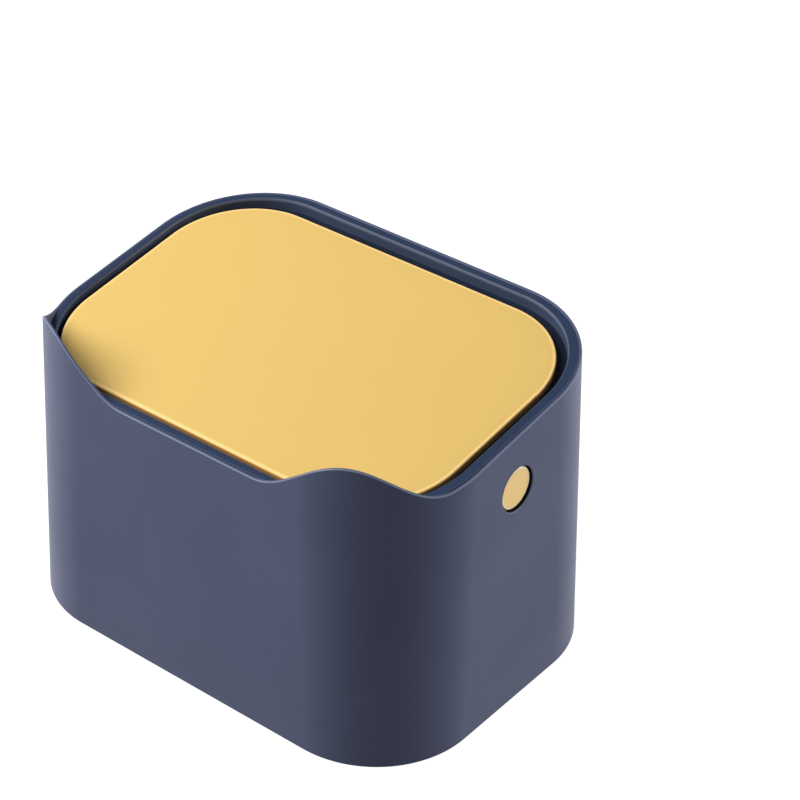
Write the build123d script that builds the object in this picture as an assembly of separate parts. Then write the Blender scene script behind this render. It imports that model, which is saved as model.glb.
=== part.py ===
from build123d import *
import math
import os

# Desktop trash can with a pop-up lid. Millimetres, +Z up, +X towards the push button,
# -Y towards the low front of the rim. The origin is the middle of the underside.
# Depths are measured straight down from the sloping plane of the rim.

# Barrel
TOP_LENGTH = 200.0
TOP_WIDTH = 141.5
TOP_CORNER_RADIUS = 46.4
BASE_CORNER_RADIUS = 43.8
RIM_HEIGHT = 124.7
RIM_SLOPE = 0.155
WALL_LEAN = 0.02
WALL = 2.2
FLOOR = 2.4
BASE_ROUNDING = 1.0
FLOOR_ROUNDING = 3.0
FOOT_RING = 9.0
FOOT_RECESS = 0.8

# Lip that stands round the frame, and the two ears on the front corners
LIP = 1.3
LIP_DEPTH = 5.6
LIP_ROUNDING = 0.45
EAR_HEIGHT = 18.6
EAR_HALF_LENGTH = 41.0
EAR_FROM_CORNER = 19.6
EAR_FACING = 33.0
EAR_STEPS = 10

# Frame that lies in the mouth and carries the lid and the latch
BAND = 4.9
BAND_SHIFT = -0.8
BAND_ROUNDING = 0.8
SEAM_ROUNDING = 0.35
RECESS_DEPTH = 5.4
LEDGE = 7.1
LEDGE_THICKNESS = 1.6
SKIRT_WALL = 1.6
SKIRT_DEPTH = 16.0
GUSSET = 1.2
GUSSET_SPACING = TOP_LENGTH / 5
SNAP_LENGTH = 12.0
SNAP_HEIGHT = 2.0
SNAP_PROUD = 0.7
SNAP_PLACE = TOP_LENGTH / 6

# Lid
LID_LENGTH = TOP_LENGTH - 15.0
LID_WIDTH = TOP_WIDTH - 18.1
LID_CORNER_RADIUS = TOP_CORNER_RADIUS - 9.4
LID_SHIFT_X = -2.4
LID_SHIFT_Y = -0.8
LID_SUNK = 2.2
LID_HEIGHT = 2.9
LID_SKIN = 1.4
LID_SKIRT = 1.6
LID_ROUNDING = 1.8
PLUG_DROP = 3.0
PLUG_WALL = 1.4
RIB = 1.0
RIB_HEIGHT = 1.6
RIB_SPACING = 27.0
LONG_RIBS = 3
CROSS_RIBS = 6

# Hinge
PIN_DIAMETER = 2.5
PIN_INSET = 26.0
PIN_BELOW_TOP = 3.8
KNUCKLE_DIAMETER = PIN_DIAMETER + 1.9
KNUCKLE_LENGTH = 3.0
OUTER_KNUCKLE = TOP_WIDTH / 2 - 16.75
INNER_KNUCKLE = OUTER_KNUCKLE - 12.0
BOSS_DIAMETER = PIN_DIAMETER + 2.3
BOSS_LENGTH = 4.8
LEDGE_END = 0.5
STOP_REACH = 2.3
TAB_DEPTH = 6.4
TAB = 1.6
HINGE_ROOM = 6.0

# Springs
TORSION_WIRE = 0.6
TORSION_PITCH = 1.6
TORSION_TURNS = 3
ANCHOR_LEG = 8.4
LID_LEG = 6.4
LID_LEG_RISE = 20.0
RETURN_WIRE = 0.6
RETURN_RADIUS = 3.4
RETURN_TURNS = 4

# Latch and button
BUTTON_DROP = 23.7
BUTTON_DIAMETER = 17.6
BUTTON_SUNK = 1.0
BUTTON_WALL = 1.4
BUTTON_FACE = 1.6
BUTTON_ROUNDING = 0.6
HOLE_ROUNDING = 0.4
FLANGE_DIAMETER = BUTTON_DIAMETER + 2.8
FLANGE = 1.4
BUTTON_GAP = 0.5
PLUNGER_DIAMETER = 5.0
PLUNGER_DISC = 1.45
CASE_LENGTH = 9.6
CASE_WALL = 1.5
CASE_ROOM = 0.8
HOOK_WIDTH = 9.0
HOOK_THICKNESS = 1.6
HOOK_STAND_OFF = 1.9
HOOK_BELOW_PLUNGER = 1.0
NOSE_REACH = 1.0
NOSE_ABOVE_PLUNGER = 9.5
NOSE_HEIGHT = 4.5
PAD_HEIGHT = 2.0
PAD_LENGTH = 14.0
PAD_WIDTH = 16.0
SCREW_DIAMETER = 2.0
SCREW_HEAD = 4.0
SCREW_HEAD_HEIGHT = 1.4
SLOT = 0.5
SCREW_BOSS = 5.0
SCREW_BOSS_DROP = 5.0
FLANGE_EAR = 7.0
FLANGE_EAR_THICKNESS = 2.0
SCREW_SHORT = 1.0

# Fits and clearances
SEAM_GAP = 0.15
SLIDE_GAP = 0.3
SEAT_GAP = 0.1
PIN_FIT = 0.04
RUN_FIT = 0.05
PLUG_GAP = 1.2
SMALL_GAP = 0.2
DISC_GAP = 0.025

# How near a point counts as lying on a face
NEAR = 0.02

SLOPE = math.atan(RIM_SLOPE)
REACH = 2 * TOP_LENGTH
WALL_TOP = RIM_HEIGHT + TOP_WIDTH / 2 * RIM_SLOPE + EAR_HEIGHT
HINGE_DIRECTION = Vector(0, math.cos(SLOPE), math.sin(SLOPE))
RIM_NORMAL = Vector(0, -math.sin(SLOPE), math.cos(SLOPE))
PIN_X = LID_SHIFT_X - LID_LENGTH / 2 + PIN_INSET
PIN_DEPTH = LID_SUNK + PIN_BELOW_TOP
BUTTON_Z = RIM_HEIGHT - BUTTON_DROP
TORSION_RADIUS = PIN_DIAMETER / 2 + TORSION_WIRE / 2 + SMALL_GAP
CASE_FRONT = TOP_LENGTH / 2 - WALL - SMALL_GAP
CASE_WIDTH = FLANGE_DIAMETER + 2 * (CASE_WALL + CASE_ROOM)


def rim_z(y, depth=0.0):
    return RIM_HEIGHT + RIM_SLOPE * y - depth


def wall_x(z):
    return TOP_LENGTH / 2 + WALL_LEAN * (RIM_HEIGHT - z)


def outline(z, inset, radius):
    spread = 2 * (WALL_LEAN * (RIM_HEIGHT - z) - inset)
    return Pos(0, 0, z) * RectangleRounded(TOP_LENGTH + spread, TOP_WIDTH + spread, radius)


def outer_skin(low, high):
    # The outer corners are tighter at the base than at the rim.
    tighter = (BASE_CORNER_RADIUS - TOP_CORNER_RADIUS) / RIM_HEIGHT
    ends = [outline(z, 0, TOP_CORNER_RADIUS + tighter * (RIM_HEIGHT - z)) for z in (low, high)]
    return loft(ends, ruled=True)


def walled(inset, low, high):
    # A tapered block that follows the outer wall at a distance.
    radius = TOP_CORNER_RADIUS + WALL_LEAN * (RIM_HEIGHT - low) - inset
    return extrude(outline(low, inset, radius), high - low, taper=math.degrees(math.atan(WALL_LEAN)))


def above(depth):
    plane = Plane(origin=(0, 0, RIM_HEIGHT - depth), x_dir=(1, 0, 0), z_dir=RIM_NORMAL)
    return plane * Box(REACH, REACH, REACH, align=(Align.CENTER, Align.CENTER, Align.MIN))


def between(solid, top, bottom):
    return (solid & above(bottom)) - above(top)


def plan_prism(length, width, radius, x=0.0, y=0.0):
    return extrude(Pos(x, y, 0) * RectangleRounded(length, width, radius), WALL_TOP)


def plan_box(x_low, x_high, y_low, y_high, top, bottom):
    block = Pos((x_low + x_high) / 2, (y_low + y_high) / 2, WALL_TOP / 2)
    return between(block * Box(x_high - x_low, y_high - y_low, WALL_TOP), top, bottom)


def box(x_low, x_high, y_low, y_high, z_low, z_high):
    centre = Pos((x_low + x_high) / 2, (y_low + y_high) / 2, (z_low + z_high) / 2)
    return centre * Box(x_high - x_low, y_high - y_low, z_high - z_low)


def along_hinge(radius, start, end):
    origin = Vector(PIN_X, 0, rim_z(0, PIN_DEPTH)) + HINGE_DIRECTION * start
    return Plane(origin=origin, x_dir=(1, 0, 0), z_dir=HINGE_DIRECTION) * Cylinder(
        radius, end - start, align=(Align.CENTER, Align.CENTER, Align.MIN)
    )


def hinge_box(x_low, x_high, down_low, down_high, start, end):
    # A block in the hinge's own directions, with the pin's middle line as zero.
    origin = Vector(PIN_X, 0, rim_z(0, PIN_DEPTH))
    middle = Pos((x_low + x_high) / 2, (down_low + down_high) / 2, (start + end) / 2)
    block = middle * Box(x_high - x_low, down_high - down_low, end - start)
    return Plane(origin=origin, x_dir=(1, 0, 0), z_dir=HINGE_DIRECTION) * block


def boss_span(side, margin=0.0):
    start = OUTER_KNUCKLE + KNUCKLE_LENGTH / 2 + SMALL_GAP
    ends = (side * (start - margin), side * (start + BOSS_LENGTH + margin))
    return min(ends), max(ends)


def along_x(radius, x_low, x_high, y=0.0, z=BUTTON_Z):
    plane = Plane(origin=(x_low, y, z), x_dir=(0, 1, 0), z_dir=(1, 0, 0))
    return plane * Cylinder(radius, x_high - x_low, align=(Align.CENTER, Align.CENTER, Align.MIN))


def square_to_rim(radius, place, top, bottom):
    # A round rod square to the rim plane, between two distances below it.
    x, y = place
    foot = Vector(x, y, rim_z(y)) - RIM_NORMAL * bottom
    rod = Cylinder(radius, bottom - top, align=(Align.CENTER, Align.CENTER, Align.MIN))
    return Plane(origin=foot, x_dir=(1, 0, 0), z_dir=RIM_NORMAL) * rod


def below_rim(depth):
    return depth * math.cos(SLOPE)


def edges_at(solid, depth):
    found = []
    for edge in solid.edges():
        points = [edge @ share for share in (0.0, 0.35, 0.7, 1.0)]
        if all(abs(point.Z - rim_z(point.Y, depth)) < NEAR for point in points):
            found.append(edge)
    return found


def biarc(start, start_tangent, end, end_tangent):
    span = end - start
    both = start_tangent + end_tangent
    spread = 2 * (1 - start_tangent.dot(end_tangent))
    along = span.dot(both)
    reach = (math.sqrt(along * along + spread * span.dot(span)) - along) / spread
    middle = (start + end + (start_tangent - end_tangent) * reach) / 2
    turn = ((end - end_tangent * reach) - (start + start_tangent * reach)).normalized()
    return [TangentArc(start, middle, tangent=start_tangent), TangentArc(middle, end, tangent=turn)]


def coil_path(plane, radius, pitch, first_angle, last_angle):
    halves = round((last_angle - first_angle) / 180)
    step = (last_angle - first_angle) / halves

    def point(angle):
        turn = math.radians(angle)
        return plane.from_local_coords(
            Vector(radius * math.cos(turn), radius * math.sin(turn), pitch * (angle - first_angle) / 360)
        )

    def tangent(angle):
        turn = math.radians(angle)
        climb = pitch / (2 * math.pi)
        local = Vector(-radius * math.sin(turn), radius * math.cos(turn), climb)
        return (plane.from_local_coords(local) - plane.origin).normalized()

    arcs = []
    for number in range(halves):
        low = first_angle + number * step
        high = low + step
        arcs += biarc(point(low), tangent(low), point(high), tangent(high))
    return arcs, (point(first_angle), tangent(first_angle)), (point(last_angle), tangent(last_angle))


def wire_tube(edges, wire, start, direction):
    section = Plane(origin=start, z_dir=direction) * Circle(wire / 2)
    return sweep(section, path=Wire(edges))


def least_coil_gap(radius, pitch, wire, turns, name):
    steps = 72
    points = []
    for number in range(int(turns * steps) + 1):
        turn = 2 * math.pi * number / steps
        points.append(Vector(radius * math.cos(turn), radius * math.sin(turn), pitch * number / steps))
    least = min(
        (points[i] - points[j]).length
        for i in range(len(points))
        for j in range(i + steps // 2, len(points))
    )
    print(name, "least gap between turns", round(least - wire, 2), "mm")


def perimeter_point(distance):
    straight = TOP_LENGTH / 2 - TOP_CORNER_RADIUS
    if distance <= straight:
        return distance, -TOP_WIDTH / 2
    turn = (distance - straight) / TOP_CORNER_RADIUS
    x = straight + TOP_CORNER_RADIUS * math.sin(turn)
    y = -TOP_WIDTH / 2 + TOP_CORNER_RADIUS * (1 - math.cos(turn))
    return x, y


def ear():
    # The ear's outline is a raised cosine along the wall, cut square to the wall at the ear's middle.
    facing = math.radians(EAR_FACING)
    outward = Vector(math.sin(facing), -math.cos(facing), 0)
    in_rim_plane = Vector(math.sin(facing), -math.cos(facing), -RIM_SLOPE * math.cos(facing))
    front = TOP_LENGTH
    place = TOP_LENGTH / 2 - TOP_CORNER_RADIUS + EAR_FROM_CORNER
    points = []
    for number in range(EAR_STEPS + 1):
        along = EAR_HALF_LENGTH * (2 * number / EAR_STEPS - 1)
        x, y = perimeter_point(place + along)
        height = EAR_HEIGHT * (1 + math.cos(math.pi * along / EAR_HALF_LENGTH)) / 2
        on_wall = Vector(x, y, rim_z(y) + height)
        points.append(on_wall + in_rim_plane * (front - on_wall.dot(outward)))
    rim_run = (points[-1] - points[0]).normalized()
    below = Vector(0, 0, -LIP_DEPTH)
    top = Spline(*points, tangents=[rim_run, rim_run])
    sides = Polyline(points[-1], points[-1] + below, points[0] + below, points[0])
    face = make_face([top, sides])
    return extrude(face, amount=front, dir=-in_rim_plane.normalized())


def make_barrel():
    outside = outer_skin(0, WALL_TOP)
    outside = fillet(outside.edges().group_by(Axis.Z)[0], BASE_ROUNDING)
    inside = walled(WALL, FLOOR, WALL_TOP)
    inside = fillet(inside.edges().group_by(Axis.Z)[0], FLOOR_ROUNDING)
    right_ear = ear()
    barrel = outside - inside - (walled(LIP, 0, WALL_TOP) & above(LIP_DEPTH))
    barrel -= above(0) - right_ear - mirror(right_ear, about=Plane.YZ)
    barrel = fillet([edge for edge in barrel.edges() if on_lip(edge)], LIP_ROUNDING)
    barrel -= extrude(outline(0, FOOT_RING, BASE_CORNER_RADIUS - FOOT_RING), FOOT_RECESS)
    barrel -= along_x(BUTTON_DIAMETER / 2 + BUTTON_GAP, CASE_FRONT, TOP_LENGTH)
    barrel = fillet([edge for edge in barrel.edges() if on_button_rim(edge)], HOLE_ROUNDING)
    for pocket in snaps(SNAP_PROUD + SEAT_GAP, SEAT_GAP):
        barrel -= pocket
    return barrel


def on_lip(edge):
    points = [edge @ share for share in (0, 0.3, 0.6, 1)]
    return all(point.Z > rim_z(point.Y) - NEAR for point in points)


def on_button_rim(edge):
    point = edge @ 0.3
    from_middle = math.hypot(point.Y, point.Z - BUTTON_Z)
    on_hole = abs(from_middle - BUTTON_DIAMETER / 2 - BUTTON_GAP) < NEAR
    return on_hole and abs(point.X - wall_x(point.Z)) < NEAR


def snaps(proud, margin):
    # Four beads on the frame's skirt, which click into pockets of the same shape in the barrel.
    skirt_y = TOP_WIDTH / 2 - WALL - SLIDE_GAP
    half = SNAP_LENGTH / 2 + margin
    top = SKIRT_DEPTH - 2 * SNAP_HEIGHT - margin
    bottom = SKIRT_DEPTH - SNAP_HEIGHT + margin
    beads = []
    for side in (-1, 1):
        for middle in (-SNAP_PLACE, SNAP_PLACE):
            near, far = sorted((side * (skirt_y - SKIRT_WALL / 2), side * (skirt_y + proud)))
            beads.append(plan_box(middle - half, middle + half, near, far, top, bottom))
    return beads


def make_frame():
    upper = between(walled(LIP + SEAM_GAP, 0, WALL_TOP), 0, LIP_DEPTH - SEAT_GAP)
    upper = fillet(edges_at(upper, 0), SEAM_ROUNDING)
    lower = between(walled(WALL + SLIDE_GAP, 0, WALL_TOP), LIP_DEPTH - SEAT_GAP, SKIRT_DEPTH)
    within_skirt = walled(WALL + SLIDE_GAP + SKIRT_WALL, 0, WALL_TOP)
    under_ledge = RECESS_DEPTH + LEDGE_THICKNESS
    hollow = between(within_skirt, under_ledge, REACH)
    recess = mouth_prism(BAND, BAND_SHIFT)
    mouth = mouth_prism(BAND + LEDGE)
    frame = upper + lower - hollow - (recess & above(RECESS_DEPTH)) - mouth
    frame = fillet([e for e in edges_at(frame, 0) if is_inner(e)], BAND_ROUNDING)
    tail_room = plan_box(-TOP_LENGTH, PIN_X - LEDGE_END, -TOP_WIDTH, TOP_WIDTH, RECESS_DEPTH, SKIRT_DEPTH)
    frame -= recess & tail_room & within_skirt
    for side in (-1, 1):
        start, end = boss_span(side)
        near, far = sorted((side * (INNER_KNUCKLE - KNUCKLE_LENGTH), start if side > 0 else end))
        frame -= along_hinge(KNUCKLE_DIAMETER / 2 + SLIDE_GAP, near, far)
        frame += along_hinge(BOSS_DIAMETER / 2, start, end)
        frame += hinge_box(-LEDGE_END, BOSS_DIAMETER / 2, 0, TAB_DEPTH + TAB, start, end)
        frame += spring_tab(side)
        frame -= along_hinge(PIN_DIAMETER / 2 + PIN_FIT, start, end)
    case_half = CASE_WIDTH / 2 + BUTTON_GAP
    frame -= plan_box(0, TOP_LENGTH, -case_half, case_half, under_ledge, SKIRT_DEPTH + WALL)
    ceiling = below_rim(under_ledge)
    for place in case_screw_places():
        frame += square_to_rim(SCREW_BOSS / 2, place, ceiling - SMALL_GAP, below_rim(flange_depth()))
        frame -= square_to_rim(SCREW_DIAMETER / 2, place, ceiling, SKIRT_DEPTH)
    for gusset in gussets():
        frame += gusset
    for bead in snaps(SNAP_PROUD, 0):
        frame += bead
    return frame


def mouth_prism(inset, shift=0.0):
    return plan_prism(TOP_LENGTH - 2 * inset, TOP_WIDTH - 2 * inset, TOP_CORNER_RADIUS - inset, shift)


def is_inner(edge):
    point = edge @ 0.5
    in_length = abs(point.X - BAND_SHIFT) <= TOP_LENGTH / 2 - BAND + SMALL_GAP
    in_width = abs(point.Y) <= TOP_WIDTH / 2 - BAND + SMALL_GAP
    return in_length and in_width


def spring_tab(side):
    # The anchor leg of the torsion spring bears on this tab, and the open lid stops against it.
    edge = TORSION_RADIUS - TORSION_WIRE / 2 - SEAT_GAP
    start, end = boss_span(side)
    near, far = sorted((side * (spring_middle() - TAB), start if side > 0 else end))
    return hinge_box(-STOP_REACH, edge, TAB_DEPTH, TAB_DEPTH + TAB, near, far)


def spring_middle():
    return (OUTER_KNUCKLE + INNER_KNUCKLE) / 2


def lid_prism(inset):
    return plan_prism(
        LID_LENGTH - 2 * inset, LID_WIDTH - 2 * inset, LID_CORNER_RADIUS - inset, LID_SHIFT_X, LID_SHIFT_Y
    )


def make_lid_cover():
    bottom = LID_SUNK + LID_HEIGHT
    shell = between(lid_prism(0), LID_SUNK, bottom)
    shell = fillet(edges_at(shell, LID_SUNK), LID_ROUNDING)
    shell -= between(lid_prism(LID_SKIRT), LID_SUNK + LID_SKIN, REACH)
    for side in (-1, 1):
        shell -= along_hinge(BOSS_DIAMETER / 2 + SLIDE_GAP, *boss_span(side, SMALL_GAP))
    return shell


def make_lid_panel():
    top = LID_SUNK + LID_SKIN + SEAT_GAP
    bottom = LID_SUNK + LID_HEIGHT
    panel = between(lid_prism(LID_SKIRT + SEAM_GAP), top, bottom)
    inset = BAND + LEDGE + PLUG_GAP
    plug = mouth_prism(inset) - mouth_prism(inset + PLUG_WALL)
    plug = between(plug, bottom, bottom + PLUG_DROP)
    plug -= plan_box(-TOP_LENGTH, PIN_X + HINGE_ROOM, -TOP_WIDTH, TOP_WIDTH, 0, REACH)
    hook_half = PAD_WIDTH / 2 + BUTTON_GAP
    plug -= plan_box(0, TOP_LENGTH, -hook_half, hook_half, 0, REACH)
    panel += plug
    for rib in lid_ribs(inset + PLUG_WALL, bottom):
        panel += rib
    pad_low, pad_high = hook_pad()
    panel += plan_box(pad_low, pad_high, -PAD_WIDTH / 2, PAD_WIDTH / 2, bottom, bottom + PAD_HEIGHT)
    for middle in (-OUTER_KNUCKLE, -INNER_KNUCKLE, INNER_KNUCKLE, OUTER_KNUCKLE):
        half = KNUCKLE_LENGTH / 2
        panel += along_hinge(KNUCKLE_DIAMETER / 2, middle - half, middle + half)
    room = TORSION_RADIUS + TORSION_WIRE
    half = (OUTER_KNUCKLE - INNER_KNUCKLE - KNUCKLE_LENGTH) / 2
    for side in (-1, 1):
        start, end = boss_span(side, SMALL_GAP)
        panel -= along_hinge(BOSS_DIAMETER / 2 + SLIDE_GAP, start, end)
        middle = side * spring_middle()
        panel -= hinge_box(-room, room, -REACH, room, middle - half, middle + half)
        low, high = sorted(side * end for end in pin_span())
        panel -= along_hinge(PIN_DIAMETER / 2 + PIN_FIT, low, high)
    for place in hook_screw_places():
        panel -= square_to_rim(SCREW_DIAMETER / 2, place, below_rim(top) + SMALL_GAP, SKIRT_DEPTH)
    return panel


def lid_ribs(inset, top):
    # Shallow ribs in a grid that stiffens the panel inside its plug rim.
    inside = mouth_prism(inset)
    start = PIN_X + HINGE_ROOM + LID_LEG / 2
    end = hook_pad()[0]
    half = TOP_WIDTH / 2
    ribs = []
    for number in range(LONG_RIBS):
        y = (number - (LONG_RIBS - 1) / 2) * RIB_SPACING
        ribs.append(plan_box(start, end, y - RIB / 2, y + RIB / 2, top, top + RIB_HEIGHT))
    spacing = (end - start) / (CROSS_RIBS - 1)
    for number in range(CROSS_RIBS):
        x = start + number * spacing
        ribs.append(plan_box(x - RIB / 2, x + RIB / 2, -half, half, top, top + RIB_HEIGHT))
    return [rib & inside for rib in ribs]


def hook_pad():
    high = CASE_FRONT - CASE_LENGTH - HOOK_STAND_OFF
    return high - PAD_LENGTH, high


def hook_screw_places():
    low, high = hook_pad()
    return [(low + PAD_LENGTH / 3, side * PAD_WIDTH / 4) for side in (-1, 1)]


def case_screw_places():
    # The screws lean with the rim, so their places on the rim plane lie a little forward.
    x = CASE_FRONT - CASE_LENGTH + SCREW_BOSS / 2 + SEAT_GAP + CASE_WALL / 2
    forward = RIM_SLOPE * flange_depth()
    return [(x, side * (CASE_WIDTH + FLANGE_EAR) / 2 - forward) for side in (-1, 1)]


def flange_depth():
    return RECESS_DEPTH + LEDGE_THICKNESS + SCREW_BOSS_DROP


def gussets():
    # Small webs between the frame's ledge and its skirt, on the two long sides.
    top = RECESS_DEPTH + LEDGE_THICKNESS - SMALL_GAP
    skirt = TOP_WIDTH / 2 - WALL - SLIDE_GAP - SKIRT_WALL / 2
    inner = TOP_WIDTH / 2 - BAND - LEDGE + GUSSET
    webs = []
    for x in (-GUSSET_SPACING, 0, GUSSET_SPACING):
        for side in (-1, 1):
            outer_y = side * skirt
            inner_y = side * inner
            corners = Polyline(
                (outer_y, rim_z(outer_y, top)),
                (inner_y, rim_z(inner_y, top)),
                (outer_y, rim_z(outer_y, SKIRT_DEPTH - GUSSET)),
                close=True,
            )
            webs.append(Pos(x, 0, 0) * extrude(Plane.YZ * make_face(corners), GUSSET / 2, both=True))
    return webs


def screw(place, seat, length):
    # A pan-head screw that goes in from below, its head against a seat that far under the rim plane.
    head = Cylinder(SCREW_HEAD / 2, SCREW_HEAD_HEIGHT, align=(Align.CENTER, Align.CENTER, Align.MIN))
    head = fillet(head.edges().group_by(Axis.Z)[-1], SCREW_HEAD_HEIGHT / 3)
    for turn in (0, 90):
        slot = Box(SCREW_HEAD / 2, SLOT, SCREW_HEAD_HEIGHT)
        head -= Pos(0, 0, SCREW_HEAD_HEIGHT) * Rot(0, 0, turn) * slot
    shank = Cylinder(SCREW_DIAMETER / 2 - PIN_FIT, length, align=(Align.CENTER, Align.CENTER, Align.MAX))
    x, y = place
    origin = Vector(x, y, rim_z(y)) - RIM_NORMAL * seat
    return Plane(origin=origin, x_dir=(1, 0, 0), z_dir=-RIM_NORMAL) * (head + shank)


def make_hook():
    low, high = hook_pad()
    top = LID_SUNK + LID_HEIGHT + PAD_HEIGHT
    half = HOOK_WIDTH / 2
    plate = plan_box(low, high, -PAD_WIDTH / 2, PAD_WIDTH / 2, top, top + HOOK_THICKNESS)
    left = high - HOOK_THICKNESS
    nose_top = BUTTON_Z + NOSE_ABOVE_PLUNGER
    nose_tip = high + HOOK_STAND_OFF + NOSE_REACH
    foot = BUTTON_Z - PLUNGER_DIAMETER / 2 - HOOK_BELOW_PLUNGER
    profile = Polyline(
        (left, foot),
        (high, foot),
        (high, nose_top - NOSE_HEIGHT),
        (nose_tip, nose_top - HOOK_THICKNESS / 2),
        (nose_tip, nose_top),
        (high, nose_top),
        (high, WALL_TOP),
        (left, WALL_TOP),
        close=True,
    )
    arm = extrude(Plane.XZ * make_face(profile), amount=half, both=True) - above(top)
    hook = plate + arm
    for place in hook_screw_places():
        hook -= square_to_rim(SCREW_DIAMETER / 2, place, 0, SKIRT_DEPTH)
    return hook


def make_latch_case():
    rear = CASE_FRONT - CASE_LENGTH
    ceiling = RECESS_DEPTH + LEDGE_THICKNESS
    half = CASE_WIDTH / 2
    bottom = BUTTON_Z - FLANGE_DIAMETER / 2 - CASE_ROOM - CASE_WALL
    case = box(rear, CASE_FRONT, -half, half, bottom, WALL_TOP) - above(ceiling)
    room_half = half - CASE_WALL
    room_bottom = bottom + CASE_WALL
    room = box(rear + CASE_WALL, CASE_FRONT - CASE_WALL, -room_half, room_half, room_bottom, WALL_TOP)
    case -= room - above(ceiling + CASE_WALL)
    case -= along_x(BUTTON_DIAMETER / 2 + SLIDE_GAP, rear + CASE_WALL, TOP_LENGTH)
    case -= along_x(PLUNGER_DIAMETER / 2 + RUN_FIT, 0, TOP_LENGTH / 2)
    window_top = BUTTON_Z + NOSE_ABOVE_PLUNGER + SLIDE_GAP
    window_half = HOOK_WIDTH / 2 + BUTTON_GAP
    window = box(0, rear + CASE_WALL, -window_half, window_half, window_top - NOSE_HEIGHT, window_top)
    case -= window
    seat = flange_depth()
    for side, place in zip((-1, 1), case_screw_places()):
        near, far = sorted((side * (half - CASE_WALL / 2), side * (half + FLANGE_EAR)))
        case += plan_box(rear, rear + SCREW_BOSS + CASE_WALL, near, far, seat, seat + FLANGE_EAR_THICKNESS)
        case -= square_to_rim(SCREW_DIAMETER / 2, place, 0, SKIRT_DEPTH)
    return case


def button_face_x():
    return wall_x(BUTTON_Z) - BUTTON_SUNK


def flange_front_x():
    return CASE_FRONT - CASE_WALL - SMALL_GAP


def make_button():
    radius = BUTTON_DIAMETER / 2
    face = button_face_x()
    front = flange_front_x()
    cap = along_x(radius, front, face)
    cap = fillet(cap.edges().group_by(Axis.X)[-1], BUTTON_ROUNDING)
    cap += along_x(FLANGE_DIAMETER / 2, front - FLANGE, front)
    return cap - along_x(radius - BUTTON_WALL, front - FLANGE, face - BUTTON_FACE)


def disc_back_x():
    return button_face_x() - BUTTON_FACE - DISC_GAP - PLUNGER_DISC


def make_plunger():
    back = disc_back_x()
    rear = CASE_FRONT - CASE_LENGTH
    tip = rear - HOOK_STAND_OFF + BUTTON_GAP
    disc = along_x(BUTTON_DIAMETER / 2 - BUTTON_WALL - SEAT_GAP, back, back + PLUNGER_DISC)
    rod = along_x(PLUNGER_DIAMETER / 2, tip, back)
    rod = fillet(rod.edges().group_by(Axis.X)[0], BUTTON_ROUNDING)
    return disc + rod


def make_return_spring():
    seat = CASE_FRONT - CASE_LENGTH + CASE_WALL
    room = disc_back_x() - seat
    pitch = (room - RETURN_WIRE - 2 * SEAT_GAP) / RETURN_TURNS
    origin = (seat + SEAT_GAP + RETURN_WIRE / 2, 0, BUTTON_Z)
    plane = Plane(origin=origin, x_dir=(0, 1, 0), z_dir=(1, 0, 0))
    arcs, start, end = coil_path(plane, RETURN_RADIUS, pitch, 0, 360 * RETURN_TURNS)
    least_coil_gap(RETURN_RADIUS, pitch, RETURN_WIRE, RETURN_TURNS, "return spring")
    return wire_tube(arcs, RETURN_WIRE, start[0], start[1])


def make_torsion_spring():
    last_angle = 360 * TORSION_TURNS + 270 + LID_LEG_RISE
    length = TORSION_PITCH * last_angle / 360
    origin = Vector(PIN_X, 0, rim_z(0, PIN_DEPTH)) + HINGE_DIRECTION * (spring_middle() - length / 2)
    plane = Plane(origin=origin + HINGE_DIRECTION * length, x_dir=(1, 0, 0), z_dir=-HINGE_DIRECTION)
    arcs, start, end = coil_path(plane, TORSION_RADIUS, TORSION_PITCH, 0, last_angle)
    anchor = Line(start[0] - start[1] * ANCHOR_LEG, start[0])
    lid_leg = Line(end[0], end[0] + end[1] * LID_LEG)
    least_coil_gap(TORSION_RADIUS, TORSION_PITCH, TORSION_WIRE, last_angle / 360, "torsion spring")
    return wire_tube([anchor] + arcs + [lid_leg], TORSION_WIRE, anchor @ 0, start[1])


def pin_span():
    start = INNER_KNUCKLE - KNUCKLE_LENGTH
    return start, boss_span(1)[1] - SEAM_GAP


def make_hinge_pin():
    return along_hinge(PIN_DIAMETER / 2, *pin_span())


def save(name, *solids):
    shape = solids[0] if len(solids) == 1 else Compound(children=list(solids))
    export_step(shape, os.path.join("parts", name + ".step"))


def main():
    os.makedirs("parts", exist_ok=True)
    across = Plane(origin=(0, 0, RIM_HEIGHT - PIN_DEPTH), x_dir=(1, 0, 0), z_dir=HINGE_DIRECTION)
    pin = make_hinge_pin()
    torsion_spring = make_torsion_spring()
    hook_seat = below_rim(LID_SUNK + LID_HEIGHT + PAD_HEIGHT + HOOK_THICKNESS)
    case_seat = below_rim(flange_depth() + FLANGE_EAR_THICKNESS)
    case_screw_length = FLANGE_EAR_THICKNESS + SCREW_BOSS_DROP - SCREW_SHORT
    save("outer_barrel", make_barrel())
    save("top_frame", make_frame())
    save("lid_cover", make_lid_cover())
    save("lid_inner_panel", make_lid_panel())
    save("lid_hook", make_hook())
    hook_screw_length = HOOK_THICKNESS + PAD_HEIGHT
    hook_screws = [screw(place, hook_seat, hook_screw_length) for place in hook_screw_places()]
    save("hook_screws", *hook_screws)
    save("hinge_pin_back", pin)
    save("hinge_pin_front", mirror(pin, about=across))
    save("torsion_spring_back", torsion_spring)
    save("torsion_spring_front", mirror(torsion_spring, about=across))
    save("push_button", make_button())
    save("button_plunger", make_plunger())
    save("return_spring", make_return_spring())
    save("latch_case", make_latch_case())
    case_screws = [screw(place, case_seat, case_screw_length) for place in case_screw_places()]
    save("case_screws", *case_screws)


main()
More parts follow.
